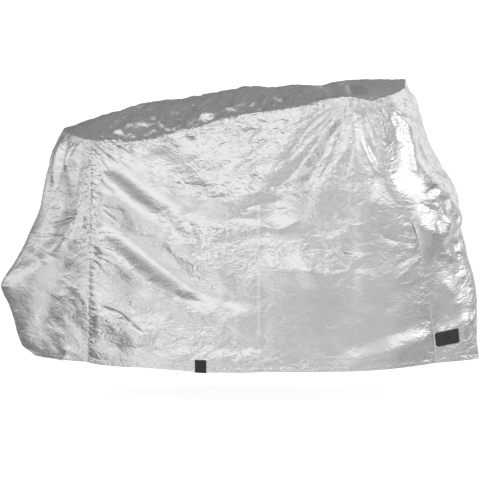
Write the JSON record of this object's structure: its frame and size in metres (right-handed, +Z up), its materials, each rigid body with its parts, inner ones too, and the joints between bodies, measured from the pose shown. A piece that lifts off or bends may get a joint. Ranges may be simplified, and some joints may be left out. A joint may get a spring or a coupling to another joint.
{
  "type": "bicycle cover",
  "caption": "Fitted cover that hangs over a whole bicycle: two side panels sewn to a long gusset strip, open below, with webbing tabs on the hem and a plain patch.",
  "frame": {"origin": "the point under the top, on the centre plane midway along the cover, that rests on the bicycle", "axes": "+X along the bicycle to its handlebar end, +Y to the far side, +Z up"},
  "size_m": [1.8589, 0.6796, 1.0728],
  "materials": {
    "silver_cloth": "thin cloth with a silver metallised coat, satin shine, crumpled and creased all over",
    "webbing": "black woven webbing, matt",
    "patch_cloth": "plain black coated cloth, matt"
  },
  "bodies": {
    "root": {"side_panel_near": "silver_cloth", "side_panel_far": "silver_cloth", "gusset_strip": "silver_cloth", "strap_tab_near": "webbing", "strap_tab_far": "webbing", "label_patch": "patch_cloth"}
  },
  "joints": []
}
